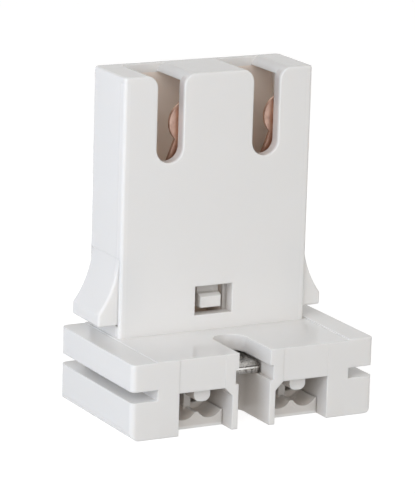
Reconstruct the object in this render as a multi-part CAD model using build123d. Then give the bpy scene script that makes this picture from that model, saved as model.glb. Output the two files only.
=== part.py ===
# Tall slot-entry lamp holder for a bi-pin fluorescent tube, standing upright on its base.
# Millimetres. X runs across the two pins, the front face looks towards -Y, and Z is up.
# The origin is the middle of the base's underside.
from build123d import *
import os

# Driving dimensions of the whole holder
pin_pitch = 12.7
total_height = 40.4
tower_width = 24.9
tower_depth = 8.5
base_width = 32.0
base_depth = 19.2
base_height = 9.2

# Walls of the housing, and the height of the wire pockets' ceiling
front_wall = 1.5
rear_wall = 1.0
side_wall = 1.3
top_wall = 1.0
notch_wall = 0.75
pocket_ceiling_z = 5.15

# Rounded edges of the housing
tower_rear_radius = 0.75
tower_front_radius = 0.4
tower_top_radius = 0.3
base_rear_radius = 1.0
base_front_radius = 0.65
base_lower_radius = 1.05
slot_edge_radius = 0.15
base_top_radius = 0.15

# Pin slots, open at the front and the top
slot_width = 3.5
slot_depth = 10.5
slot_mouth_radius = 1.55
slot_mouth_lift = 0.02

# Fine mould steps: the strips along the base's sides, and the panels above the wire pockets
strip_width = 3.2
left_strip_drop = 0.08
right_strip_rise = 0.15
panel_step = 0.05

# Side grooves, which slide along the edges of a sheet-metal cut-out
groove_depth = 3.35
groove_height = 1.3
groove_floor_z = 4.58

# Latch window in the front wall
window_width = 5.0
window_height = 3.55
window_rise = 1.9

# Latch finger and hook of the insert, and the frame round them that lies against the front wall
hook_width = 2.8
hook_rise = 0.65
hook_height = 1.73
hook_lead = 0.41
hook_reach = 0.9
hook_corner = 0.12
finger_thickness = 0.9
finger_side_gap = 0.65
finger_space_floor = 1.6
finger_root_rise = 4.35
frame_width = 6.2

# Snap wings, each on a spring arm cut out of a side wall, with heights above the wing's lower end
wing_reach = 2.5
wing_step = 0.05
wing_lip_height = 1.5
wing_curve_height = 7.9
wing_root_height = 8.05
wing_curve_mid = (1.26, 3.5)
wing_tip_radius = 0.25
wing_edge_radius = 0.3
wing_thickness = 0.65
arm_front_lip = 0.45
arm_rear_lip = 0.77
arm_gap = 0.08
arm_slit = 0.15
arm_flex = 1.5
panel_gap = 1.5

# Screw notch, with the grooves that hold the nut
notch_width = 4.2
nut_centre_depth = 6.1
nut_size = 5.5
nut_height = 1.5
nut_corner_radius = 0.6
nut_edge_chamfer = 0.5
thread_radius = 1.25
thread_lead = 0.3
nut_clearance = 0.1
nut_head_room = 0.3
nut_groove_floor_z = 5.45
nut_groove_radius = 0.5
nut_entry_length = 3.0
nut_entry_grip = 0.35

# Wire pockets in the front of the base
pocket_chamfer = 1.0
boss_width = 2.1
boss_drop = 1.55
boss_radius = 0.8
boss_setback = 1.0
boss_length = 2.6

# Insert: wire sill, bores and upright
insert_clearance = 0.1
insert_floor_z = 0.03
sill_setback = 2.3
sill_length = 2.4
sill_top_z = 1.95
trough_radius = 1.77
trough_floor_z = 1.1
wire_spacing = 3.44
partition_width = 0.9
bore_radius = 1.25
bore_length = 1.6
bore_z = 3.1
chamber_width = 3.0
chamber_length = 4.2
chamber_floor_z = 1.4
upright_thickness = 1.3
upright_rib_width = 1.2
upright_fork_gap = 0.4

# Contacts, stamped and folded from one thickness of strip, with heights from the slot's floor
strip_thickness = 0.4
heel_radius = 0.36
contact_gap = 0.45
fork_width = 6.6
fork_floor_drop = 3.5
fork_top_rise = 7.5
fork_corner_radius = 1.0
fork_root_drop = 1.0
fork_root_half_gap = 0.3
fork_seat_rise = 2.4
fork_seat_half_gap = 1.6
fork_pinch_rise = 4.05
fork_pinch_half_gap = 0.82
fork_mouth_rise = 6.6
fork_mouth_half_gap = 2.1
fork_tip_half_gap = 2.6
stem_width = 2.8
foot_width = 6.0
foot_gap = 0.1
foot_clearance = 0.15
tongue_width = 1.7
tongue_length = 2.6
tongue_cut_gap = 0.15
tongue_angle = 40.0

# Places worked out from the driving dimensions
front_y = -base_depth / 2
rear_y = base_depth / 2
half_base = base_width / 2
half_tower = tower_width / 2
tower_front_y = rear_y - tower_depth
cavity_front_y = tower_front_y + front_wall
cavity_rear_y = rear_y - rear_wall
cavity_half_width = half_tower - side_wall
cavity_top_z = total_height - top_wall
finger_face_y = cavity_front_y + insert_clearance
slot_x = pin_pitch / 2
slot_radius = slot_width / 2
slot_floor_z = total_height - slot_depth
wing_floor_z = base_height + panel_gap
wing_lip_z = wing_floor_z + wing_lip_height
wing_curve_top_z = wing_floor_z + wing_curve_height
wing_root_z = wing_floor_z + wing_root_height
window_floor_z = base_height + window_rise
window_top_z = window_floor_z + window_height
finger_root_z = window_top_z + finger_root_rise
hook_floor_z = window_floor_z + hook_rise
notch_radius = notch_width / 2
nut_y = front_y + nut_centre_depth
nut_pocket_half = nut_size / 2 + nut_clearance
nut_pocket_rear_y = nut_y + nut_pocket_half
nut_groove_top_z = nut_groove_floor_z + nut_height + nut_head_room
passage_front_y = nut_pocket_rear_y + notch_wall
pocket_inner_x = notch_radius + notch_wall
pocket_outer_x = 2 * slot_x - pocket_inner_x
sill_front_y = front_y + sill_setback
sill_rear_y = sill_front_y + sill_length
chamber_front_y = cavity_front_y - chamber_length
bore_front_y = chamber_front_y - bore_length
wire_x = wire_spacing / 2
trough_centre_z = trough_floor_z + trough_radius
insert_deck_z = pocket_ceiling_z - foot_clearance - strip_thickness
finger_space_z = insert_deck_z + finger_space_floor
fork_floor_z = slot_floor_z - fork_floor_drop
fork_root_z = slot_floor_z - fork_root_drop
fork_seat_z = slot_floor_z + fork_seat_rise
fork_pinch_z = slot_floor_z + fork_pinch_rise
fork_mouth_z = slot_floor_z + fork_mouth_rise
fork_top_z = slot_floor_z + fork_top_rise
upright_top_z = fork_floor_z - upright_fork_gap
contact_front_y = cavity_front_y + contact_gap
contact_rear_y = contact_front_y + strip_thickness
upright_front_y = contact_rear_y + insert_clearance
upright_half_width = slot_x + fork_width / 2
arm_front_y = tower_front_y + arm_front_lip + arm_gap
arm_rear_y = rear_y - arm_rear_lip - arm_gap
wing_seat_x = half_tower - wing_thickness

# How far a cutting block runs past what it cuts, how far joined blocks reach into each other,
# and how near a face or edge lies to the place by which it is picked
cut = 1.0
bury = 0.25
near = 0.01


def block(x0, x1, y0, y1, z0, z1):
    """Box between two corners."""
    centre = ((x0 + x1) / 2, (y0 + y1) / 2, (z0 + z1) / 2)
    return Pos(*centre) * Box(x1 - x0, y1 - y0, z1 - z0)


def rod_y(x, z, radius, y0, y1):
    """Round bar along Y."""
    return Pos(x, (y0 + y1) / 2, z) * Rot(90, 0, 0) * Cylinder(radius, y1 - y0)


def plate_xz(outline, y0, y1):
    """Outline drawn in X and Z, as thick as the way from y0 to y1."""
    face = Plane((0, y0, 0), x_dir=(1, 0, 0), z_dir=(0, -1, 0)) * make_face(outline)
    return extrude(face, amount=y1 - y0, dir=(0, 1, 0))


def left_copy(shape):
    """The same shape on the left side."""
    return mirror(shape, about=Plane.YZ)


def both_sides(shape):
    """A right-hand shape with its left-hand copy."""
    return shape + left_copy(shape)


def tower_block():
    """Solid tower with its rounded edges, down into the base."""
    tower = block(-half_tower, half_tower, tower_front_y, rear_y, 0, total_height)
    uprights = tower.edges().filter_by(Axis.Z)
    tower = fillet(uprights.group_by(Axis.Y)[0], tower_front_radius)
    tower = fillet(tower.edges().filter_by(Axis.Z).group_by(Axis.Y)[-1], tower_rear_radius)
    return fillet(tower.faces().sort_by(Axis.Z)[-1].edges(), tower_top_radius)


def base_block():
    """Solid base with its rounded edges, side grooves and the fine steps of its top."""
    top_z = base_height + right_strip_rise
    base = block(-half_base, half_base, front_y, rear_y, 0, top_z)
    uprights = base.edges().filter_by(Axis.Z)
    base = fillet(uprights.group_by(Axis.Y)[0], base_front_radius)
    base = fillet(base.edges().filter_by(Axis.Z).group_by(Axis.Y)[-1], base_rear_radius)
    base = fillet(base.faces().sort_by(Axis.Z)[-1].edges(), base_top_radius)
    middle = block(-half_base - cut, half_base - strip_width, front_y - cut, rear_y + cut,
                   base_height, top_z + cut)
    left = block(-half_base - cut, strip_width - half_base, front_y - cut, rear_y + cut,
                 base_height - left_strip_drop, top_z + cut)
    groove = block(half_base - groove_depth, half_base + cut, front_y - cut, rear_y + cut,
                   groove_floor_z, groove_floor_z + groove_height)
    lower = rounded_lower_edge()
    return base - middle - left - both_sides(groove) - both_sides(lower)


def rounded_lower_edge():
    """What is cut away to round the base's long lower edge on the right."""
    x0 = half_base - base_lower_radius
    corner = block(x0, half_base + cut, front_y - cut, rear_y + cut, -cut, base_lower_radius)
    return corner - rod_y(x0, base_lower_radius, base_lower_radius, front_y - 2 * cut, rear_y + 2 * cut)


def inner_cavity():
    """Hollow of the tower and the base, open below, where the insert goes up."""
    tower = block(-cavity_half_width, cavity_half_width, cavity_front_y, cavity_rear_y, -cut, cavity_top_z)
    passage = block(-slot_x, slot_x, passage_front_y, cavity_front_y + cut, -cut, pocket_ceiling_z)
    return tower + passage + both_sides(wire_pocket())


def wire_pocket():
    """Right-hand pocket from the base's front to the tower, open in front and below."""
    pocket = block(pocket_inner_x, pocket_outer_x, front_y - cut, cavity_front_y + cut,
                   -cut, pocket_ceiling_z)
    return pocket - pocket_gusset() - pocket_boss()


def pocket_gusset():
    """Sloping corner between the pocket's ceiling and the thin wall beside the notch."""
    x0 = pocket_inner_x - cut
    x1 = pocket_inner_x + pocket_chamfer + cut
    z0 = pocket_ceiling_z - pocket_chamfer - cut
    z1 = pocket_ceiling_z + cut
    outline = Polyline((x0, z0), (x1, z1), (x0, z1), close=True)
    return plate_xz(outline, front_y - 2 * cut, bore_front_y - insert_clearance)


def pocket_boss():
    """Round-bottomed rib that hangs from the pocket's ceiling, between the two wires."""
    y0 = front_y + boss_setback
    half = boss_width / 2
    rib = block(slot_x - half, slot_x + half, y0, y0 + boss_length,
                pocket_ceiling_z - boss_drop, pocket_ceiling_z + cut)
    return fillet(rib.edges().filter_by(Axis.Y).group_by(Axis.Z)[0], boss_radius)


def pin_slot():
    """What is cut away for the right-hand slot: front plate and top, with a flared mouth.

    The mouth's arcs are centred a hair high, so they cross the top at a small angle.
    """
    y0 = tower_front_y - cut
    centre_z = slot_floor_z + slot_radius
    mouth_z = total_height - slot_mouth_radius + slot_mouth_lift
    flare = slot_radius + slot_mouth_radius
    mouth = block(slot_x - flare, slot_x + flare, y0, cavity_rear_y, mouth_z, mouth_z + slot_mouth_radius)
    for side in (-1, 1):
        mouth -= rod_y(slot_x + side * flare, mouth_z, slot_mouth_radius, y0 - cut, rear_y)
    neck = block(slot_x - slot_radius, slot_x + slot_radius, y0, cavity_rear_y, centre_z, total_height)
    return mouth + neck + rod_y(slot_x, centre_z, slot_radius, y0, cavity_front_y + cut)


def round_slot_edges(body):
    """Round the front edges of the two slots, below their flared mouths too."""
    front = [f for f in body.faces().filter_by(Axis.Y) if abs(f.center().Y - tower_front_y) < near]
    plate = max(front, key=lambda f: f.area)
    limit = slot_radius + slot_mouth_radius - near
    beside = [e for e in plate.edges() if abs(abs(e.center().X) - slot_x) < limit]
    edges = [e for e in beside if e.center().Z > slot_floor_z - near]
    return fillet(edges, slot_edge_radius)


def screw_notch():
    """U-shaped notch for the screw, with the grooves and rear slot that hold the nut."""
    notch = block(-notch_radius, notch_radius, front_y - cut, nut_y, -cut, base_height + cut)
    notch += Pos(0, nut_y, base_height / 2) * Cylinder(notch_radius, base_height + 2 * cut)
    seat = block(-nut_pocket_half, nut_pocket_half, front_y + nut_entry_length, nut_pocket_rear_y,
                 nut_groove_floor_z, nut_groove_top_z)
    seat = fillet(seat.edges().filter_by(Axis.X).group_by(Axis.Y)[0], nut_groove_radius)
    entry_half = nut_pocket_half - nut_entry_grip
    entry = block(-entry_half, entry_half, front_y - cut, nut_y, nut_groove_floor_z, nut_groove_top_z)
    return notch + seat + entry


def latch_window():
    """Window in the front wall for the hook of the insert."""
    return block(-window_width / 2, window_width / 2, tower_front_y - cut, cavity_front_y + cut,
                 window_floor_z, window_top_z)


def pocket_panel():
    """Very shallow step above the right-hand pocket in the base's front face."""
    return block(pocket_inner_x + pocket_chamfer, pocket_outer_x, front_y - cut, front_y + panel_step,
                 pocket_ceiling_z - panel_step, base_height + cut)


def arm_room():
    """Slits round the right-hand spring arm, and the room inside in which it bends."""
    x0 = cavity_half_width - arm_flex
    z0 = wing_floor_z - arm_slit
    z1 = wing_root_z - arm_slit
    room = block(x0, half_tower + cut, tower_front_y + arm_front_lip, rear_y - arm_rear_lip, z0, z1)
    arm = block(cavity_half_width, half_tower + 2 * cut, arm_front_y, arm_rear_y, wing_floor_z, z1 + cut)
    return room - arm


def wing_seat():
    """What is cut off the outside of the right-hand arm, where the wing's plate goes."""
    return block(wing_seat_x, half_tower + cut, tower_front_y + arm_front_lip, rear_y - arm_rear_lip,
                 wing_floor_z - arm_slit, wing_root_z)


def snap_wing():
    """Right-hand wing: a hollow curve that flares down to a square lip, with rounded edges."""
    root_x = wing_seat_x - bury
    step_x = half_tower + wing_step
    tip_x = half_tower + wing_reach
    middle = (half_tower + wing_curve_mid[0], wing_floor_z + wing_curve_mid[1])
    outline = Polyline((tip_x, wing_lip_z), (tip_x, wing_floor_z), (root_x, wing_floor_z),
                       (root_x, wing_root_z), (step_x, wing_root_z), (step_x, wing_curve_top_z))
    outline += ThreePointArc((step_x, wing_curve_top_z), middle, (tip_x, wing_lip_z))
    wing = plate_xz(outline, arm_front_y, arm_rear_y)
    tip = wing.edges().filter_by(Axis.Y).group_by(Axis.X)[-1]
    wing = fillet(tip, wing_tip_radius)
    faces = wing.faces().sort_by(Axis.Y)
    rims = [e for face in (faces[0], faces[-1]) for e in face.edges() if e.center().X > step_x - near]
    return fillet(rims, wing_edge_radius)


def housing():
    """The one moulding that holds everything else."""
    body = tower_block() + base_block()
    body -= inner_cavity()
    body -= both_sides(pin_slot())
    body = round_slot_edges(body)
    body -= screw_notch()
    body -= latch_window()
    body -= both_sides(pocket_panel())
    body -= both_sides(arm_room())
    body -= both_sides(wing_seat())
    body += both_sides(snap_wing())
    return body


def insert_lobe():
    """Right-hand foot of the insert, with its two wire ways."""
    x0 = pocket_inner_x + insert_clearance
    x1 = pocket_outer_x - insert_clearance
    lobe = block(x0, x1, sill_front_y, upright_front_y, insert_floor_z, insert_deck_z)
    lobe -= block(x0 - cut, x1 + cut, sill_front_y - cut, bore_front_y, sill_top_z, insert_deck_z + cut)
    for side in (-1, 1):
        lobe -= wire_way(slot_x + side * wire_x)
    lobe += block(slot_x - partition_width / 2, slot_x + partition_width / 2, sill_rear_y, bore_front_y,
                  trough_floor_z, insert_deck_z)
    return lobe


def wire_way(x):
    """Open trough, round bore and spring chamber of one push-in wire."""
    way = rod_y(x, trough_centre_z, trough_radius, sill_front_y - cut, bore_front_y)
    way += rod_y(x, bore_z, bore_radius, bore_front_y - cut, chamber_front_y + cut)
    way += block(x - chamber_width / 2, x + chamber_width / 2, chamber_front_y, cavity_front_y,
                 chamber_floor_z, insert_deck_z + cut)
    return way


def insert_upright():
    """Plate behind the contacts, stiffened by ribs, with room for the latch finger cut in it."""
    half = upright_half_width
    y1 = upright_front_y + upright_thickness
    y2 = cavity_rear_y - insert_clearance
    z0 = insert_deck_z - cut
    plate = block(-half, half, upright_front_y, y1, z0, upright_top_z)
    for x in (-half, -slot_x / 2 - upright_rib_width, slot_x / 2, half - upright_rib_width):
        plate += block(x, x + upright_rib_width, y1 - bury, y2, z0, upright_top_z)
    frame = frame_width / 2
    plate += block(-frame, frame, finger_face_y, upright_front_y + bury, z0, finger_root_z + cut)
    gap = hook_width / 2 + finger_side_gap
    return plate - block(-gap, gap, finger_face_y - cut, y1 + bury, finger_space_z, finger_root_z)


def latch_finger():
    """Spring finger that hangs from the upright, with the hook that catches in the window."""
    half = hook_width / 2
    finger = block(-half, half, finger_face_y, finger_face_y + finger_thickness,
                   hook_floor_z, finger_root_z + bury)
    hook_y = finger_face_y - hook_reach
    hook_top_z = hook_floor_z + hook_height
    outline = Polyline((hook_y, hook_floor_z), (finger_face_y + bury, hook_floor_z),
                       (finger_face_y + bury, hook_top_z), (finger_face_y, hook_top_z),
                       (hook_y, hook_top_z - hook_lead), close=True)
    hook = extrude(Plane.YZ * make_face(outline), amount=half, both=True)
    corners = hook.edges().filter_by(Axis.Z).group_by(Axis.Y)[0]
    return finger + chamfer(corners, hook_corner)


def contact_carrier():
    """The insert that goes up into the housing and holds the contacts."""
    half = cavity_half_width - insert_clearance
    rear = cavity_rear_y - insert_clearance
    body = block(-half, half, cavity_front_y + insert_clearance, rear, insert_floor_z, insert_deck_z)
    body += block(-slot_x, slot_x, passage_front_y + insert_clearance, rear, insert_floor_z, insert_deck_z)
    body = body - both_sides(carrier_relief()) + both_sides(insert_lobe())
    return body + insert_upright() + latch_finger()


def carrier_relief():
    """Room in the insert's deck for the right-hand lobe, which brings its own wire ways."""
    return block(pocket_inner_x + insert_clearance, pocket_outer_x - insert_clearance,
                 passage_front_y - cut, upright_front_y, insert_floor_z - cut, insert_deck_z + cut)


def pin_fork():
    """Fork that grips a pin: a tapering seat under two rounded bumps."""
    half = fork_width / 2
    fork = block(-half, half, contact_front_y, contact_rear_y, fork_floor_z, fork_top_z)
    tips = fork.edges().filter_by(Axis.Y)
    fork = fillet(tips, fork_corner_radius)
    gap = Polyline((fork_mouth_half_gap, fork_mouth_z), (fork_tip_half_gap, fork_top_z + cut),
                   (-fork_tip_half_gap, fork_top_z + cut), (-fork_mouth_half_gap, fork_mouth_z))
    gap += ThreePointArc((-fork_mouth_half_gap, fork_mouth_z), (-fork_pinch_half_gap, fork_pinch_z),
                         (-fork_seat_half_gap, fork_seat_z))
    gap += Polyline((-fork_seat_half_gap, fork_seat_z), (-fork_root_half_gap, fork_root_z),
                    (fork_root_half_gap, fork_root_z), (fork_seat_half_gap, fork_seat_z))
    gap += ThreePointArc((fork_seat_half_gap, fork_seat_z), (fork_pinch_half_gap, fork_pinch_z),
                         (fork_mouth_half_gap, fork_mouth_z))
    return fork - plate_xz(gap, contact_front_y - cut, contact_rear_y + cut)


def contact_foot():
    """Foot under the pocket's ceiling, with a lanced tongue that grips each wire."""
    half = foot_width / 2
    z1 = insert_deck_z + strip_thickness
    y0 = chamber_front_y - foot_gap
    foot = block(-half, half, y0, contact_rear_y, insert_deck_z, z1)
    for side in (-1, 1):
        x = side * wire_x
        x0 = x - tongue_width / 2
        x1 = x + tongue_width / 2
        root_y = chamber_front_y + strip_thickness
        foot -= block(x0 - tongue_cut_gap, x1 + tongue_cut_gap, root_y, root_y + tongue_length,
                      insert_deck_z - cut, z1 + cut)
        tongue = block(x0, x1, 0, tongue_length, -strip_thickness, 0)
        foot += Pos(0, root_y, z1) * Rot(-tongue_angle, 0, 0) * tongue
    return foot


def contact():
    """One contact, its fork's middle at X = 0."""
    half = stem_width / 2
    stem_top_z = fork_floor_z + fork_corner_radius
    stem = block(-half, half, contact_front_y, contact_rear_y, insert_deck_z, stem_top_z)
    body = pin_fork() + stem + contact_foot()
    heel = [e for e in body.edges().filter_by(Axis.X)
            if abs(e.center().Z - insert_deck_z) < near and abs(e.center().Y - contact_rear_y) < near]
    return fillet(heel, heel_radius)


def captive_nut():
    """Thin square nut, its thread's wall at the minor diameter."""
    z0 = nut_groove_floor_z + nut_clearance / 2
    nut = block(-nut_size / 2, nut_size / 2, nut_y - nut_size / 2, nut_y + nut_size / 2, z0, z0 + nut_height)
    nut = fillet(nut.edges().filter_by(Axis.Z), nut_corner_radius)
    top = nut.faces().sort_by(Axis.Z)[-1].edges()
    nut = chamfer(top, nut_edge_chamfer)
    nut -= Pos(0, nut_y, z0 + nut_height / 2) * Cylinder(thread_radius, nut_height + cut)
    rims = nut.edges().filter_by(GeomType.CIRCLE).filter_by(lambda e: abs(e.radius - thread_radius) < near)
    return chamfer(rims, thread_lead)


nodes = {
    "housing": housing(),
    "contact_carrier": contact_carrier(),
    "contact_left": Pos(-slot_x, 0, 0) * contact(),
    "contact_right": Pos(slot_x, 0, 0) * contact(),
    "captive_nut": captive_nut(),
}

os.makedirs("parts", exist_ok=True)
for name, shape in nodes.items():
    export_step(shape, f"parts/{name}.step")
    size = shape.bounding_box().size
    print(f"{name}: {len(shape.solids())} solid, {size.X:.2f} x {size.Y:.2f} x {size.Z:.2f} mm")
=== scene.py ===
"""Looks of a bi-pin fluorescent tube lamp holder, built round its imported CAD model.

Places are in the CAD model's own frame. Object sizes are in metres, and the materials work in millimetres.
"""
import math

import bpy
from mathutils import Matrix, Vector, noise

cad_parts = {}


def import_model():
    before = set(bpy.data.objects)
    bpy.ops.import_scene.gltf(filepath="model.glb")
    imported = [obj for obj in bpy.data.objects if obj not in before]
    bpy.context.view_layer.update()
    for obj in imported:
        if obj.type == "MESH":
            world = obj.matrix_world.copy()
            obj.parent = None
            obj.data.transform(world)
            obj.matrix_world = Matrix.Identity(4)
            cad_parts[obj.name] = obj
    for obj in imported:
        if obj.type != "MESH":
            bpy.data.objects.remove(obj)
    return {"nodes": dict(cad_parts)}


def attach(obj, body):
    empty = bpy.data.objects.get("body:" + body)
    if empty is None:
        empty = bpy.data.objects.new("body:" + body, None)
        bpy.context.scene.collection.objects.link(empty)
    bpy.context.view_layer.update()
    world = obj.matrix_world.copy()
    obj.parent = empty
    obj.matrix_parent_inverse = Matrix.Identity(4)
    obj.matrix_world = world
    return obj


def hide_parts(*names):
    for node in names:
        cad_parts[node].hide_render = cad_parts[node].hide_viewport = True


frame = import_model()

MM = 0.001

# Camera, fitted to the object's corners in the photograph
CAMERA_PLACE = (-0.183624, -0.33842, 0.113413)
CAMERA_AZIMUTH = 28.272
CAMERA_DIP = 13.711
CAMERA_ROLL = 1.748
CAMERA_LENS = 244.42
CAMERA_SENSOR = 36.0
CAMERA_NEAR = 0.01
CAMERA_FAR = 50.0

# Light level: a lamp that faces a surface at level 1 shows its colour as written
KEY_LEVEL = 0.60
FRONT_LEVEL = 0.13
BACK_LEVEL = 0.35
SPARK_LEVEL = 0.06
TOWER_LEVEL = 0.32
LATCH_LEVEL = 0.24
LAMP_AIM = (0, 0, 0.02)

# Colours of the lamps and the sky
COOL_LIGHT = (0.83, 0.89, 1.0)
SOFT_LIGHT = (1.0, 0.985, 0.96)
WARM_LIGHT = (1.0, 0.96, 0.90)
INSIDE_LIGHT = (1.0, 0.96, 0.92)
WHITE_LIGHT = (1.0, 1.0, 1.0)
SKY_LIGHT = (1.0, 0.98, 0.95)

# Sky level, from the front of the sky to where it has faded behind the object
SKY_FRONT_LEVEL = 1.0
SKY_BACK_LEVEL = 0.06
SKY_FRONT = -1.0
SKY_FADED = 0.6

# Floor: its size and its gap below the object in metres, its light on the object, its glow and shadow share
FLOOR_SIZE = 6.0
FLOOR_GAP = 0.00002
FLOOR_LEVEL = 0.46
FLOOR_GLOW = 0.82
FLOOR_DIFFUSE = 0.42

# Samples of the nodes that look for edges and recesses, and the range that most noise values lie in
EDGE_SAMPLES = 6
RECESS_SAMPLES = 8
NOISE_RANGE = (0.3, 0.7)

# White plastic: its gloss, how much light enters it, and how far red, green and blue travel in millimetres
PLASTIC_IOR = 1.5
PLASTIC_TRANSLUCENCY = 0.5
PLASTIC_DEPTH = (0.8, 0.75, 0.7)
HOUSING_SPECULAR = 0.3
FINE_PEEL_SHARE = 0.25
TOWER_EDGE_MATT = 0.3
# Share of the painted shade in the insert's window
WINDOW_SHADE_SHARE = 0.8

# Colours of the housing
HOUSING_WHITE = (0.822, 0.814, 0.803)
HOUSING_CLOUD = (0.834, 0.828, 0.820)
# Painted highlight along the edges
HOUSING_EDGE_HIGHLIGHT = (0.91, 0.905, 0.895)
# Painted shade in recesses
HOUSING_RECESS_SHADE = (0.64, 0.60, 0.565)
# Warm painted bounce light inside the tower
HOUSING_INSIDE_BOUNCE_LIGHT = (0.91, 0.83, 0.765)
# Painted shade on the slot walls
SLOT_WALL_SHADE = (0.70, 0.66, 0.645)

# Colours of the insert
INSERT_WHITE = (0.818, 0.808, 0.794)
INSERT_CLOUD = (0.830, 0.822, 0.810)
# Painted highlight along the edges
INSERT_EDGE_HIGHLIGHT = (0.94, 0.935, 0.925)
# Warm painted shade inside the housing
INSERT_INSIDE_SHADE = (0.84, 0.77, 0.71)
# Painted shade in the pockets
POCKET_SHADE = (0.68, 0.655, 0.63)
# Painted shade in the window
WINDOW_SHADE = (0.52, 0.495, 0.475)
# Painted light in the troughs, lighter and warmer than the pockets' painted shade
TROUGH_LIGHT = (0.84, 0.80, 0.76)
# Painted shade in the bores
BORE_SHADE = (0.30, 0.20, 0.17)

# Colours of the contacts
BRONZE_PINK = (0.88, 0.66, 0.56)
BRONZE_DEEP = (0.80, 0.56, 0.46)
BRONZE_SHADED = (0.50, 0.32, 0.25)
BRONZE_TARNISH = (0.55, 0.33, 0.25)
BRONZE_SHEARED = (0.20, 0.11, 0.08)

# Colours of the nut
ZINC_DARK = (0.30, 0.29, 0.275)
ZINC_LIGHT = (0.56, 0.545, 0.52)
ZINC_STREAK = (0.72, 0.70, 0.67)
ZINC_PIT = (0.12, 0.11, 0.10)
# Painted shade on the top face
ZINC_TOP_SHADE = (0.20, 0.19, 0.18)
# Painted shade round the hole
ZINC_HOLE_SHADE = (0.06, 0.055, 0.05)
# Painted shade low down on the nut
ZINC_FOOT_SHADE = (0.22, 0.21, 0.20)
# Painted shade line along a crease
ZINC_CREASE_SHADE = (0.07, 0.065, 0.06)
# Painted highlight along the rim
ZINC_RIM_HIGHLIGHT = (1.0, 0.99, 0.97)

# How strongly each mark and each painted shade tints the nut, and how far its shear marks stand out
STREAK_TINT = 0.5
PIT_TINT = 0.8
TOP_SHADE_TINT = 0.45
HOLE_SHADE_TINT = 0.9
FOOT_SHADE_TINT = 0.55
CREASE_SHADE_TINT = 0.85
STREAK_HEIGHT = 0.3

# Places for painted shade, painted light and painted highlights, and for the tower's matt edges that get no
# painted highlight, in millimetres: the low end, the high end and the softness along each axis
HOUSING_INSIDE = {"x": (-11.3, 11.3, 0.05), "y": (2.55, 8.65, 0.05), "z": (5.2, 39.3, 0.05)}
SLOT_WALLS = {"x": (-11.3, 11.3, 0.05), "y": (1.5, 2.5, 0.15), "z": (29.5, 39.9, 0.2)}
TOWER_EDGES = {"aside": (11.7, 12.8, 0.1), "y": (0.9, 2.2, 0.15), "z": (9.3, 39.6, 0.3)}
BETWEEN_WINGS = {"x": (-12.3, 12.3, 0.1)}
INSERT_INSIDE = {"y": (-1.4, 8.7, 0.2), "z": (0.3, 27.0, 0.15)}
WINDOW_FRAME = {"y": (2.4, 3.2, 0.05)}
TROUGHS = {"y": (-7.1, -3.0, 0.1), "z": (0.9, 1.9, 0.05)}
BORES = {"y": (-3.95, -0.5, 0.1), "z": (2.85, 4.6, 0.15)}
NUT_CREASE_SHADE = {"z": (6.33, 6.46, 0.03)}
NUT_RIM_HIGHLIGHT = {"z": (6.08, 6.28, 0.03)}

# Heights and depths between which a painted shade or painted highlight comes in or ends, in millimetres
INSERT_UNDERSIDE = (0.2, 0.5)
POCKET_CEILING = (5.0, 5.4)
UPRIGHT_FRONT = (3.0, 3.3)
CONTACT_SHADE = (29.2, 33.4)
NUT_UPPER_FACE = (6.85, 6.95)
NUT_LOWER_SHADE = (5.75, 5.95)
NUT_HOLE_SHADE = (1.62, 1.85)
NUT_OUTSIDE = (2.3, 2.4)

# Captive nut, in millimetres
NUT_CENTRE = (0.0, -3.5)
NUT_FLOOR = 5.5
NUT_TOP = 7.0
NUT_HALF = 2.75
NUT_CORNER = 0.6
NUT_BEVEL = 0.5
NUT_LOWER_EDGE = 0.08
NUT_SMALLEST_CORNER = 0.05
THREAD_CREST = 1.25
THREAD_ROOT = 1.52
THREAD_PITCH = 0.5
THREAD_LEAD = 0.3
THREAD_FLAT = 0.125

# Fineness of the nut's mesh
NUT_SIDE_STEPS = 14
NUT_CORNER_STEPS = 6
NUT_HEIGHT_STEPS = 8
NUT_BEVEL_STEPS = 3
NUT_FACE_SHARES = (0.35, 0.7)
THREAD_STEPS = 36
SHARP_ANGLE = 32

# Unevenness of the nut's stamped outside, in millimetres
NUT_SINK = 0.02
NUT_DENTS = 0.018
NUT_DENTS_PER_MM = 3.1
NUT_PIMPLES = 0.009
NUT_PIMPLES_PER_MM = 9.0
NUT_SMOOTH_RIM = 0.1


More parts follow.
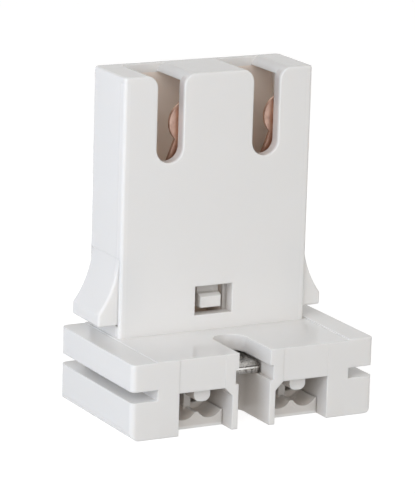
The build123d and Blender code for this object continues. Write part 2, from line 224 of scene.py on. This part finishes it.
class Surface:
    """A node material, with short calls that add nodes to it. Its coordinates are in millimetres."""

    def __init__(self, name):
        self.material = bpy.data.materials.new(name)
        self.material.use_nodes = True
        self.tree = self.material.node_tree
        self.shader = self.tree.nodes["Principled BSDF"]
        place = self.tree.nodes.new("ShaderNodeTexCoord").outputs["Object"]
        self.place = self.node("ShaderNodeVectorMath", {0: place, "Scale": 1 / MM}, operation="SCALE")
        split = self.tree.nodes.new("ShaderNodeSeparateXYZ")
        self.tree.links.new(self.place, split.inputs[0])
        self.x, self.y, self.z = split.outputs
        self.normal = self.tree.nodes.new("ShaderNodeNewGeometry").outputs["Normal"]

    @property
    def aside(self):
        """Distance from the plane between the left and the right half."""
        return self.math("ABSOLUTE", self.x)

    def feed(self, socket, value):
        """Link a socket to another, or set its value."""
        if isinstance(value, bpy.types.NodeSocket):
            self.tree.links.new(value, socket)
        else:
            socket.default_value = value

    def node(self, kind, inputs, output=0, **options):
        """Add a node with these options and inputs, and give one of its outputs."""
        made = self.tree.nodes.new(kind)
        for name, value in options.items():
            setattr(made, name, value)
        for key, value in inputs.items():
            self.feed(made.inputs[key], value)
        return made.outputs[output]

    def math(self, operation, a, b=0.0):
        """One arithmetic step."""
        return self.node("ShaderNodeMath", {0: a, 1: b}, operation=operation)

    def noise(self, size, detail=2.0, stretch=(1, 1, 1), roughness=0.5):
        """Soft random value from 0 to 1, whose spots are about size millimetres across."""
        scale = tuple(1 / (size * s) for s in stretch)
        place = self.node("ShaderNodeVectorMath", {0: self.place, 1: scale}, operation="MULTIPLY")
        inputs = {"Vector": place, "Scale": 1.0, "Detail": detail, "Roughness": roughness}
        return self.node("ShaderNodeTexNoise", inputs)

    def ramp(self, value, low, high, start=0.0, end=1.0):
        """Smooth change from start to end while the value goes from low to high."""
        inputs = {"Value": value, "From Min": low, "From Max": high, "To Min": start, "To Max": end}
        return self.node("ShaderNodeMapRange", inputs, interpolation_type="SMOOTHSTEP")

    def fade(self, value, low, high):
        """Smooth change from 1 down to 0 while the value goes from low to high."""
        return self.ramp(value, low, high, 1.0, 0.0)

    def between(self, value, low, high, soft):
        """1 from low to high and 0 outside, with a soft change at both ends."""
        rise = self.ramp(value, low - soft, low + soft)
        fall = self.fade(value, high - soft, high + soft)
        return self.product(rise, fall)

    def region(self, place):
        """1 inside a place that is given as its ends and softness along one or more axes."""
        return self.product(*(self.between(getattr(self, axis), *limits) for axis, limits in place.items()))

    def product(self, *masks):
        """Product of several masks or numbers."""
        made = masks[0]
        for mask in masks[1:]:
            made = self.math("MULTIPLY", made, mask)
        return made

    def mix(self, factor, a, b):
        """Colour from a to b."""
        a = (*a, 1.0) if isinstance(a, tuple) else a
        b = (*b, 1.0) if isinstance(b, tuple) else b
        return self.node("ShaderNodeMix", {0: factor, 6: a, 7: b}, output=2, data_type="RGBA")

    def edges(self, radius, low=0.80, high=0.99):
        """1 along the mesh's edges and 0 on its flat faces."""
        soft = self.node("ShaderNodeBevel", {"Radius": radius * MM}, samples=EDGE_SAMPLES)
        inputs = {0: soft, 1: self.normal}
        facing = self.node("ShaderNodeVectorMath", inputs, output=1, operation="DOT_PRODUCT")
        return self.fade(facing, low, high)

    def recess(self, reach, low, high):
        """1 deep in gaps narrower than reach millimetres and 0 on open faces."""
        inputs = {"Distance": reach * MM}
        open_share = self.node("ShaderNodeAmbientOcclusion", inputs, output=1, samples=RECESS_SAMPLES)
        return self.fade(open_share, low, high)

    def gloss(self, patches, low, high):
        """Roughness from low to high, in patches about this many millimetres across."""
        return self.ramp(self.noise(patches, detail=4.0), *NOISE_RANGE, low, high)

    def bump(self, height, depth, rounding):
        """Normal of a surface that a height from 0 to 1 raises by depth millimetres, with rounded edges."""
        rounded = self.node("ShaderNodeBevel", {"Radius": rounding * MM}, samples=EDGE_SAMPLES)
        inputs = {"Height": height, "Distance": depth * MM, "Strength": 1.0, "Normal": rounded}
        return self.node("ShaderNodeBump", inputs)

    def translucent(self):
        """Let some light travel inside the plastic, as it does in thin mouldings."""
        self.shader.subsurface_method = "RANDOM_WALK"
        self.shader.inputs["Subsurface Weight"].default_value = PLASTIC_TRANSLUCENCY
        self.shader.inputs["Subsurface Radius"].default_value = PLASTIC_DEPTH
        self.shader.inputs["Subsurface Scale"].default_value = MM

    def finish(self, **inputs):
        """Feed the shader, and give the material."""
        for name, value in inputs.items():
            self.feed(self.shader.inputs[name.replace("_", " ")], value)
        return self.material


def housing_plastic():
    """Glossy white moulding: faint clouds, orange peel, a painted highlight along edges, painted shade in
    recesses and on the slot walls, and warm painted bounce light inside.
    """
    s = Surface("housing_plastic")
    tower_edges = s.region(TOWER_EDGES)
    # Painted highlight along the edges, left off the tower's edges
    edge_highlight = s.product(s.edges(radius=0.20), s.math("SUBTRACT", 1.0, tower_edges))
    # Painted shade in recesses, between the wings only
    recess = s.product(s.recess(reach=6.0, low=0.08, high=0.62), s.region(BETWEEN_WINGS))
    colour = s.mix(s.noise(size=9.0, detail=3.0), HOUSING_WHITE, HOUSING_CLOUD)
    colour = s.mix(edge_highlight, colour, HOUSING_EDGE_HIGHLIGHT)
    colour = s.mix(recess, colour, HOUSING_RECESS_SHADE)
    # Warm painted bounce light inside the tower, then painted shade on the slot walls
    colour = s.mix(s.region(HOUSING_INSIDE), colour, HOUSING_INSIDE_BOUNCE_LIGHT)
    colour = s.mix(s.region(SLOT_WALLS), colour, SLOT_WALL_SHADE)
    fine_peel = s.product(s.noise(size=0.18, detail=1.0), FINE_PEEL_SHARE)
    peel = s.math("ADD", s.noise(size=0.9, detail=3.0), fine_peel)
    gloss = s.gloss(patches=2.5, low=0.12, high=0.17)
    rough = s.math("ADD", gloss, s.product(tower_edges, TOWER_EDGE_MATT))
    s.translucent()
    return s.finish(Base_Color=colour, Roughness=rough, IOR=PLASTIC_IOR,
                    Specular_IOR_Level=HOUSING_SPECULAR, Normal=s.bump(peel, depth=0.0015, rounding=0.13))


def insert_plastic():
    """Satin white moulding: a painted highlight along edges, warm painted shade inside the housing, painted
    shade in the pockets, the window and the bores, and painted light in the troughs.
    """
    s = Surface("insert_plastic")
    # Where the pockets get painted shade: from just above the underside up to the pockets' ceiling
    low = s.product(s.fade(s.z, *POCKET_CEILING), s.ramp(s.z, *INSERT_UNDERSIDE))
    # Where the insert gets warm painted shade: inside the housing, behind the upright's front and low down
    inside_shade = s.product(s.region(INSERT_INSIDE), s.math("MAXIMUM", s.ramp(s.y, *UPRIGHT_FRONT), low))
    # Where the window gets painted shade
    window = s.product(s.region(WINDOW_FRAME), s.ramp(s.z, *POCKET_CEILING), WINDOW_SHADE_SHARE)
    colour = s.mix(s.noise(size=5.0, detail=3.0), INSERT_WHITE, INSERT_CLOUD)
    # Painted highlight along the edges
    colour = s.mix(s.edges(radius=0.15), colour, INSERT_EDGE_HIGHLIGHT)
    # Painted shade in the pockets
    colour = s.mix(low, colour, POCKET_SHADE)
    # Painted shade in the window
    colour = s.mix(window, colour, WINDOW_SHADE)
    # Warm painted shade inside the housing
    colour = s.mix(inside_shade, colour, INSERT_INSIDE_SHADE)
    # Painted light in the troughs
    colour = s.mix(s.region(TROUGHS), colour, TROUGH_LIGHT)
    # Painted shade in the bores
    colour = s.mix(s.region(BORES), colour, BORE_SHADE)
    gloss = s.gloss(patches=1.5, low=0.20, high=0.28)
    s.translucent()
    return s.finish(Base_Color=colour, Roughness=gloss, IOR=PLASTIC_IOR,
                    Normal=s.bump(s.noise(size=0.12), depth=0.001, rounding=0.10))


def contact_bronze():
    """Stamped phosphor bronze: pink rolled faces with fine grain, light tarnish, and dark sheared edges."""
    s = Surface("contact_bronze")
    tarnish = s.ramp(s.noise(size=2.2, detail=5.0), low=0.52, high=0.75)
    colour = s.mix(s.noise(size=1.2, detail=4.0), BRONZE_PINK, BRONZE_DEEP)
    colour = s.mix(s.fade(s.z, *CONTACT_SHADE), colour, BRONZE_SHADED)
    colour = s.mix(tarnish, colour, BRONZE_TARNISH)
    colour = s.mix(s.edges(radius=0.10, low=0.75, high=0.98), colour, BRONZE_SHEARED)
    gloss = s.gloss(patches=0.8, low=0.30, high=0.46)
    grain = s.noise(size=0.05, stretch=(1, 1, 18))
    return s.finish(Base_Color=colour, Metallic=1.0, Roughness=gloss,
                    Normal=s.bump(grain, depth=0.004, rounding=0.04))


def nut_steel():
    """Zinc-plated nut: cloudy plating, upright shear marks, dark pits, painted shade on the top face, round
    the hole, low down and in a crease, and a painted highlight along a rim.
    """
    s = Surface("nut_steel")
    aside = s.aside
    along = s.math("ABSOLUTE", s.math("SUBTRACT", s.y, NUT_CENTRE[1]))
    square = s.math("MAXIMUM", aside, along)
    radius = s.math("SQRT", s.math("ADD", s.math("POWER", aside, 2.0), s.math("POWER", along, 2.0)))
    streaks = s.ramp(s.noise(size=0.22, detail=3.0, stretch=(1, 1, 5)), low=0.44, high=0.62)
    pits = s.ramp(s.noise(size=0.42, detail=3.0), low=0.56, high=0.64)
    top = s.ramp(s.z, *NUT_UPPER_FACE)
    hole = s.product(s.fade(radius, *NUT_HOLE_SHADE), top)
    broken = s.product(s.ramp(square, *NUT_OUTSIDE), s.ramp(s.noise(size=0.6), low=0.36, high=0.46))
    colour = s.mix(s.noise(size=0.9, detail=4.0), ZINC_DARK, ZINC_LIGHT)
    colour = s.mix(s.product(streaks, STREAK_TINT), colour, ZINC_STREAK)
    colour = s.mix(s.product(pits, PIT_TINT), colour, ZINC_PIT)
    # Painted shade on the top face
    colour = s.mix(s.product(top, TOP_SHADE_TINT), colour, ZINC_TOP_SHADE)
    # Painted shade round the hole
    colour = s.mix(s.product(hole, HOLE_SHADE_TINT), colour, ZINC_HOLE_SHADE)
    # Painted shade low down on the nut
    colour = s.mix(s.product(s.fade(s.z, *NUT_LOWER_SHADE), FOOT_SHADE_TINT), colour, ZINC_FOOT_SHADE)
    # Painted shade line along a crease, broken up
    colour = s.mix(s.product(s.region(NUT_CREASE_SHADE), broken, CREASE_SHADE_TINT), colour, ZINC_CREASE_SHADE)
    # Painted highlight along the rim, broken up
    colour = s.mix(s.product(s.region(NUT_RIM_HIGHLIGHT), broken), colour, ZINC_RIM_HIGHLIGHT)
    gloss = s.gloss(patches=0.35, low=0.30, high=0.52)
    uneven = s.math("ADD", s.noise(size=0.45, detail=4.0, roughness=0.6), s.product(streaks, STREAK_HEIGHT))
    return s.finish(Base_Color=colour, Metallic=1.0, Roughness=gloss,
                    Normal=s.bump(uneven, depth=0.05, rounding=0.04))


def paint(node, material):
    """Give a CAD node's slots this material."""
    for holder in frame["nodes"][node].material_slots:
        holder.material = material


def nut_outline(inset):
    """Points round the nut's rounded square, this far inside its outline."""
    half = NUT_HALF - inset
    corner = max(NUT_CORNER - inset, NUT_SMALLEST_CORNER)
    straight = half - corner
    points = []
    for side in range(4):
        turn = Matrix.Rotation(side * math.pi / 2, 2)
        for i in range(NUT_SIDE_STEPS):
            points.append(turn @ Vector((half, -straight + 2 * straight * i / NUT_SIDE_STEPS)))
        for i in range(NUT_CORNER_STEPS):
            angle = math.pi / 2 * i / NUT_CORNER_STEPS
            x = straight + corner * math.cos(angle)
            y = straight + corner * math.sin(angle)
            points.append(turn @ Vector((x, y)))
    return points


def nut_angles():
    """Angle round the nut's middle of each point of a ring."""
    return [math.atan2(point.y, point.x) for point in nut_outline(0)]


def thread_radius(angle, z):
    """Radius of the nut's hole, with a 60 degree thread that runs out in a lead at each end."""
    turn = ((z - NUT_FLOOR) / THREAD_PITCH - angle / (2 * math.pi)) % 1.0
    depth = 1 - abs(2 * turn - 1)
    depth = min(max(depth * (1 + 2 * THREAD_FLAT) - THREAD_FLAT, 0.0), 1.0)
    radius = THREAD_CREST + (THREAD_ROOT - THREAD_CREST) * depth
    from_end = min(z - NUT_FLOOR, NUT_TOP - z)
    return max(radius, THREAD_CREST + THREAD_LEAD - from_end)


def thread_ring(z):
    """Ring of points round the hole at this height."""
    ring = []
    for angle in nut_angles():
        radius = thread_radius(angle, z)
        ring.append((radius * math.cos(angle), radius * math.sin(angle), z))
    return ring


def face_ring(inset, z, share):
    """Ring on a flat face, this share of the way from the hole's rim to an outline."""
    rim = (THREAD_CREST + THREAD_LEAD) * (1 - share)
    ring = []
    for angle, point in zip(nut_angles(), nut_outline(inset)):
        ring.append((rim * math.cos(angle) + point.x * share, rim * math.sin(angle) + point.y * share, z))
    return ring


def outline_ring(inset, z):
    """Ring round the nut's outside, this far inside its outline."""
    return [(point.x, point.y, z) for point in nut_outline(inset)]


def nut_rings():
    """Rings of points from the top of the hole down its thread, then round the outside back to the top."""
    side_floor = NUT_FLOOR + NUT_LOWER_EDGE
    side_top = NUT_TOP - NUT_BEVEL
    rings = []
    for i in range(THREAD_STEPS + 1):
        rings.append(thread_ring(NUT_TOP - (NUT_TOP - NUT_FLOOR) * i / THREAD_STEPS))
    for share in (*NUT_FACE_SHARES, 1.0):
        rings.append(face_ring(NUT_LOWER_EDGE, NUT_FLOOR, share))
    for i in range(NUT_HEIGHT_STEPS + 1):
        rings.append(outline_ring(0, side_floor + (side_top - side_floor) * i / NUT_HEIGHT_STEPS))
    for i in range(1, NUT_BEVEL_STEPS + 1):
        inset = NUT_BEVEL * i / NUT_BEVEL_STEPS
        rings.append(outline_ring(inset, side_top + inset))
    for share in reversed(NUT_FACE_SHARES):
        rings.append(face_ring(NUT_BEVEL, NUT_TOP, share))
    return rings


def roughened(point):
    """A nut's point with the small unevenness of stamped steel, kept inside the nut's box."""
    place = Vector(point)
    dents = NUT_DENTS * noise.noise(place * NUT_DENTS_PER_MM)
    pimples = NUT_PIMPLES * noise.noise(place * NUT_PIMPLES_PER_MM)
    outward = Vector((place.x, place.y, 0)).normalized()
    if math.hypot(place.x, place.y) > THREAD_ROOT + NUT_SMOOTH_RIM:
        place -= outward * (NUT_SINK + dents + pimples)
    return place


def ring_faces(rings, count):
    """Squares between each ring of this many points and the next, and from the last back to the first."""
    faces = []
    for i in range(rings):
        below = (i + 1) % rings
        for k in range(count):
            n = (k + 1) % count
            faces.append((i * count + k, i * count + n, below * count + n, below * count + k))
    return faces


def captive_nut():
    """Threaded square nut that stands for the CAD nut, in the same place and of the same size."""
    rings = nut_rings()
    middle = Vector((*NUT_CENTRE, 0))
    vertices = [(roughened(point) + middle) * MM for ring in rings for point in ring]
    mesh = bpy.data.meshes.new("threaded_nut")
    mesh.from_pydata(vertices, [], ring_faces(len(rings), len(rings[0])))
    mesh.validate()
    mesh.shade_smooth()
    mesh.set_sharp_from_angle(angle=math.radians(SHARP_ANGLE))
    mesh.materials.append(nut_steel())
    nut = bpy.data.objects.new("threaded_nut", mesh)
    bpy.context.scene.collection.objects.link(nut)
    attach(nut, "root")
    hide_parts("captive_nut")


def add(tree, kind, color=None, strength=None):
    """Add a shader node of this kind, colour and strength, and give its output."""
    made = tree.nodes.new(kind)
    if color is not None:
        made.inputs["Color"].default_value = (*color, 1.0)
    if strength is not None:
        made.inputs["Strength"].default_value = strength
    return made.outputs[0]


def background_share(tree, background, lit):
    """Show the background to camera, glossy and clear rays, and the lit shader to all others."""
    paths = tree.nodes.new("ShaderNodeLightPath")
    first = tree.nodes.new("ShaderNodeMath")
    second = tree.nodes.new("ShaderNodeMath")
    for step in (first, second):
        step.operation = "MAXIMUM"
    tree.links.new(paths.outputs["Is Camera Ray"], first.inputs[0])
    tree.links.new(paths.outputs["Is Glossy Ray"], first.inputs[1])
    tree.links.new(first.outputs[0], second.inputs[0])
    tree.links.new(paths.outputs["Is Transmission Ray"], second.inputs[1])
    mixed = tree.nodes.new("ShaderNodeMixShader")
    tree.links.new(second.outputs[0], mixed.inputs[0])
    tree.links.new(lit, mixed.inputs[1])
    tree.links.new(background, mixed.inputs[2])
    return mixed.outputs[0]


def floor():
    """Light table: it looks white where no shadow falls on it, and lights the object from below."""
    bpy.ops.mesh.primitive_plane_add(size=FLOOR_SIZE, location=(0, 0, -FLOOR_GAP))
    ground = bpy.context.object
    ground.name = "floor"
    material = bpy.data.materials.new("floor")
    material.use_nodes = True
    tree = material.node_tree
    tree.nodes.clear()
    bounce = add(tree, "ShaderNodeEmission", WHITE_LIGHT, FLOOR_LEVEL)
    glow = add(tree, "ShaderNodeEmission", WHITE_LIGHT, FLOOR_GLOW)
    faint = add(tree, "ShaderNodeBsdfDiffuse", (FLOOR_DIFFUSE, FLOOR_DIFFUSE, FLOOR_DIFFUSE))
    white = tree.nodes.new("ShaderNodeAddShader")
    tree.links.new(faint, white.inputs[0])
    tree.links.new(glow, white.inputs[1])
    output = tree.nodes.new("ShaderNodeOutputMaterial")
    tree.links.new(background_share(tree, white.outputs[0], bounce), output.inputs[0])
    ground.data.materials.append(material)


def world():
    """Soft sky for light, brighter in front, and plain white behind the object."""
    sky = bpy.data.worlds.new("studio")
    sky.use_nodes = True
    tree = sky.node_tree
    tree.nodes.clear()
    place = tree.nodes.new("ShaderNodeTexCoord")
    split = tree.nodes.new("ShaderNodeSeparateXYZ")
    tree.links.new(place.outputs["Generated"], split.inputs[0])
    across = tree.nodes.new("ShaderNodeMapRange")
    across.inputs["From Min"].default_value = SKY_FRONT
    across.inputs["From Max"].default_value = SKY_FADED
    across.inputs["To Min"].default_value = SKY_FRONT_LEVEL
    across.inputs["To Max"].default_value = SKY_BACK_LEVEL
    tree.links.new(split.outputs["Y"], across.inputs["Value"])
    soft = add(tree, "ShaderNodeBackground", SKY_LIGHT)
    tree.links.new(across.outputs[0], soft.node.inputs["Strength"])
    white = add(tree, "ShaderNodeBackground", WHITE_LIGHT, 1.0)
    output = tree.nodes.new("ShaderNodeOutputWorld")
    tree.links.new(background_share(tree, white, soft), output.inputs[0])
    bpy.context.scene.world = sky


def add_lamp(name, size, height, colour, energy, mirrored):
    """Flat lamp of this size in metres that the camera doesn't see, still unplaced."""
    data = bpy.data.lights.new(name, "AREA")
    data.shape = "RECTANGLE"
    data.size = size
    data.size_y = height
    data.color = colour
    data.energy = energy
    made = bpy.data.objects.new(name, data)
    made.visible_camera = False
    made.visible_glossy = mirrored
    bpy.context.scene.collection.objects.link(made)
    return made


def lamp(name, azimuth, elevation, distance, size, level, colour, mirrored):
    """Square soft lamp round the object's middle. Azimuth 0 is in front, and positive is to its right."""
    a = math.radians(azimuth)
    e = math.radians(elevation)
    out = Vector((math.sin(a) * math.cos(e), -math.cos(a) * math.cos(e), math.sin(e)))
    energy = level * math.pi ** 2 * distance ** 2
    made = add_lamp(name, size, size, colour, energy, mirrored)
    made.rotation_mode = "QUATERNION"
    made.rotation_quaternion = out.to_track_quat("Z", "Y")
    made.location = Vector(LAMP_AIM) + out * distance


def inside_lamp(name, place, width, height, level):
    """Hidden lamp in a cavity, facing its rear wall: the light that comes through the thin walls."""
    width *= MM
    height *= MM
    energy = level * math.pi * width * height
    made = add_lamp(name, width, height, INSIDE_LIGHT, energy, mirrored=False)
    made.rotation_euler = (math.pi / 2, 0, math.pi)
    made.location = Vector(place) * MM


def lamps():
    """Cool light from the left, warmer from front left and rear, one lamp for edges, and two in cavities."""
    lamp("key", azimuth=-75, elevation=12, distance=0.12, size=0.11, level=KEY_LEVEL, colour=COOL_LIGHT,
         mirrored=False)
    lamp("front", azimuth=-22, elevation=14, distance=0.45, size=0.4, level=FRONT_LEVEL, colour=SOFT_LIGHT,
         mirrored=True)
    lamp("back", azimuth=180, elevation=0, distance=0.12, size=0.10, level=BACK_LEVEL, colour=WARM_LIGHT,
         mirrored=False)
    inside_lamp("tower_inside", place=(0, 3.7, 30.0), width=20.0, height=8.0, level=TOWER_LEVEL)
    inside_lamp("latch_inside", place=(0, 3.8, 12.5), width=3.4, height=11.0, level=LATCH_LEVEL)
    lamp("spark", azimuth=-40, elevation=38, distance=0.6, size=0.07, level=SPARK_LEVEL, colour=WHITE_LIGHT,
         mirrored=True)


def camera():
    """The photograph's camera. The lens is for a sensor along the picture's longer side."""
    azimuth = math.radians(CAMERA_AZIMUTH)
    dip = math.radians(CAMERA_DIP)
    roll = math.radians(CAMERA_ROLL)
    forward = Vector((math.sin(azimuth) * math.cos(dip), math.cos(azimuth) * math.cos(dip), -math.sin(dip)))
    level = Vector((math.cos(azimuth), -math.sin(azimuth), 0))
    upright = level.cross(forward)
    right = level * math.cos(roll) + upright * math.sin(roll)
    up = upright * math.cos(roll) - level * math.sin(roll)
    data = bpy.data.cameras.new("camera")
    data.sensor_width = CAMERA_SENSOR
    data.lens = CAMERA_LENS
    data.clip_start = CAMERA_NEAR
    data.clip_end = CAMERA_FAR
    made = bpy.data.objects.new("camera", data)
    turn = Matrix((right, up, -forward)).transposed().to_4x4()
    made.matrix_world = Matrix.Translation(CAMERA_PLACE) @ turn
    bpy.context.scene.collection.objects.link(made)
    bpy.context.scene.camera = made


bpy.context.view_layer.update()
bpy.context.scene.view_settings.view_transform = "Standard"
camera()
world()
lamps()
floor()
paint("housing", housing_plastic())
paint("contact_carrier", insert_plastic())
bronze = contact_bronze()
paint("contact_left", bronze)
paint("contact_right", bronze)
captive_nut()
